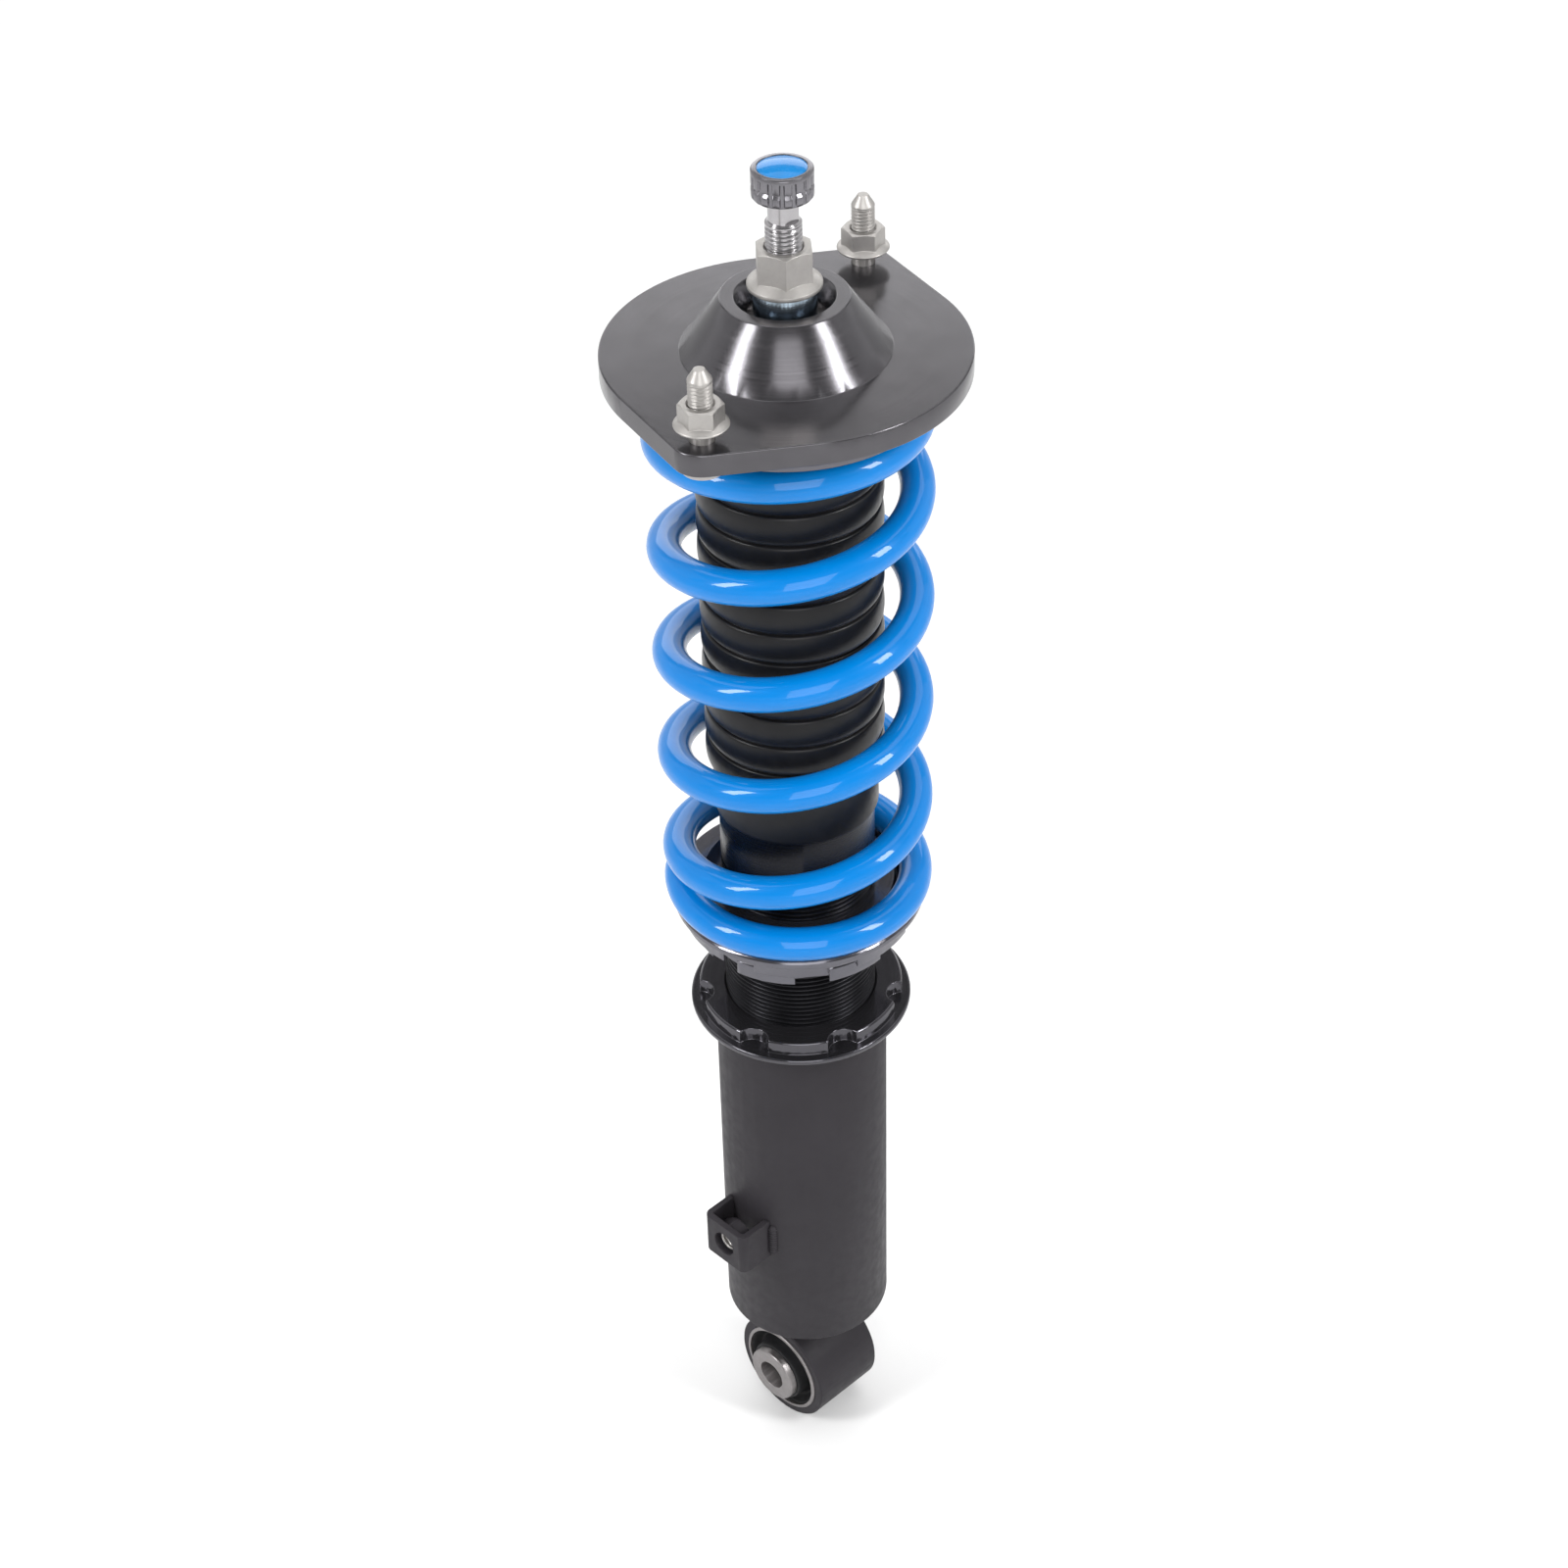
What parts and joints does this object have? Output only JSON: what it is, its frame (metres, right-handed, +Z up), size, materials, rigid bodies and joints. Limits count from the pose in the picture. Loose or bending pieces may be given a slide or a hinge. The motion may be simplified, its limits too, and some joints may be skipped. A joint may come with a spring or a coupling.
{
  "type": "coilover suspension strut",
  "caption": "Height-adjustable coilover strut with a pillow-ball top mount on two studs, an open coil spring, a dust boot and a rubber-bushed lower eye.",
  "frame": {"origin": "centre of the lower bolt bore", "axes": "+Z up the strut to the adjuster knob, Y along the lower bolt, the hose bracket faces -Y"},
  "size_m": [0.122, 0.136, 0.563],
  "materials": {
    "black_painted_tube": "satin",
    "black_anodised": "gloss",
    "grey_anodised": "satin",
    "zinc_steel": "satin",
    "bush_steel": "satin",
    "chrome_rod": "polished",
    "blued_steel": "polished",
    "bearing_steel": "polished",
    "blue_powder_coat": "gloss",
    "boot_rubber": "semi-gloss",
    "bush_rubber": "matt",
    "seal_rubber": "matt",
    "urethane": "matt",
    "alloy": "satin",
    "ptfe": "matt",
    "brass": "satin",
    "blue_cap": "gloss"
  },
  "bodies": {
    "bracket": {"lower_tube": "black_painted_tube", "bottom_cap": "black_painted_tube", "eye_ring": "black_painted_tube", "eye_weld": "black_painted_tube", "hose_bracket": "black_painted_tube", "bracket_welds": "black_painted_tube", "hose_weld_nut": "zinc_steel", "bush_outer_sleeve": "bush_steel", "bush_rubber": "bush_rubber"},
    "bolt_sleeve": {"bush_inner_sleeve": "bush_steel"},
    "lock_collar": {"bracket_lock_collar": "black_anodised"},
    "damper": {"damper_cylinder": "black_anodised", "end_plug": "alloy", "end_plug_oring": "seal_rubber", "gas_valve": "brass", "rod_guide": "alloy", "guide_bush": "ptfe", "rod_seal": "seal_rubber", "gland_cap": "black_anodised", "dust_boot": "boot_rubber"},
    "gas_piston": {"floating_piston": "alloy", "floating_piston_oring": "seal_rubber"},
    "spring": {"coil_spring": "blue_powder_coat"},
    "perch": {"spring_perch": "black_anodised"},
    "lock_ring": {"perch_lock_ring": "black_anodised"},
    "rod": {"piston_rod": "chrome_rod", "damper_piston": "alloy", "piston_band": "ptfe", "compression_shims": "bearing_steel", "rebound_shims": "bearing_steel", "piston_nut": "zinc_steel", "bump_stop": "urethane", "upper_spring_seat": "black_anodised", "lower_spacer": "blued_steel", "bearing_ball": "bearing_steel", "upper_spacer": "blued_steel", "rod_nut": "zinc_steel"},
    "adjuster": {"adjuster_knob": "grey_anodised", "knob_cap": "blue_cap", "adjuster_shaft": "bearing_steel"},
    "needle": {"metering_needle": "brass"},
    "mount_liner": {"bearing_liner": "ptfe"},
    "mount_race": {"bearing_race": "bearing_steel"},
    "top_mount": {"top_plate": "grey_anodised", "snap_ring": "blued_steel", "top_studs": "zinc_steel", "stud_nuts": "zinc_steel"}
  },
  "joints": [
    {"name": "bush_twist", "type": "hinge", "parent": "bracket", "child": "bolt_sleeve", "pos_m": [0, 0, 0], "axis": [0, 1, 0], "range_deg": [-15, 15], "stiffness_Nm_per_rad": 40},
    {"name": "ride_height", "type": "slide", "parent": "bracket", "child": "damper", "axis": [0, 0, 1], "range_m": [-0.015, 0.02]},
    {"name": "lock_collar_turn", "type": "hinge", "parent": "bracket", "child": "lock_collar", "pos_m": [0, 0, 0.2], "axis": [0, 0, 1], "range_deg": [0, 90]},
    {"name": "perch_turn", "type": "hinge", "parent": "spring", "child": "perch", "pos_m": [0, 0, 0.245], "axis": [0, 0, 1], "range_deg": [-2160, 0]},
    {"name": "perch_travel", "type": "slide", "parent": "damper", "child": "spring", "axis": [0, 0, 1], "range_m": [-0.0121, 0]},
    {"name": "lock_ring_turn", "type": "hinge", "parent": "perch", "child": "lock_ring", "pos_m": [0, 0, 0.238], "axis": [0, 0, 1], "range_deg": [-90, 0]},
    {"name": "damper_stroke", "type": "slide", "parent": "damper", "child": "rod", "axis": [0, 0, 1], "range_m": [-0.08, 0], "stiffness_N_per_m": 50000, "springref_m": 0.002, "deforming": ["coil_spring", "dust_boot"]},
    {"name": "gas_piston_travel", "type": "slide", "parent": "damper", "child": "gas_piston", "axis": [0, 0, 1], "range_m": [-0.0185, 0]},
    {"name": "adjuster_turn", "type": "hinge", "parent": "rod", "child": "adjuster", "pos_m": [0, 0, 0.534], "axis": [0, 0, 1], "range_deg": [0, 720]},
    {"name": "needle_travel", "type": "slide", "parent": "rod", "child": "needle", "axis": [0, 0, 1], "range_m": [0, 0.0011]},
    {"name": "mount_tilt_x", "type": "hinge", "parent": "rod", "child": "mount_liner", "pos_m": [0, 0, 0.4762], "axis": [1, 0, 0], "range_deg": [-4, 4]},
    {"name": "mount_tilt_y", "type": "hinge", "parent": "mount_liner", "child": "mount_race", "pos_m": [0, 0, 0.4762], "axis": [0, 1, 0], "range_deg": [-4, 4]},
    {"name": "mount_spin", "type": "hinge", "parent": "mount_race", "child": "top_mount", "pos_m": [0, 0, 0.4762], "axis": [0, 0, 1], "continuous": true}
  ],
  "couplings": [
    {"joint": "perch_travel", "follows": "perch_turn", "m_per_rad": 0.00031831},
    {"joint": "gas_piston_travel", "follows": "damper_stroke", "ratio": 0.22873},
    {"joint": "needle_travel", "follows": "adjuster_turn", "m_per_rad": 0.000079577}
  ]
}
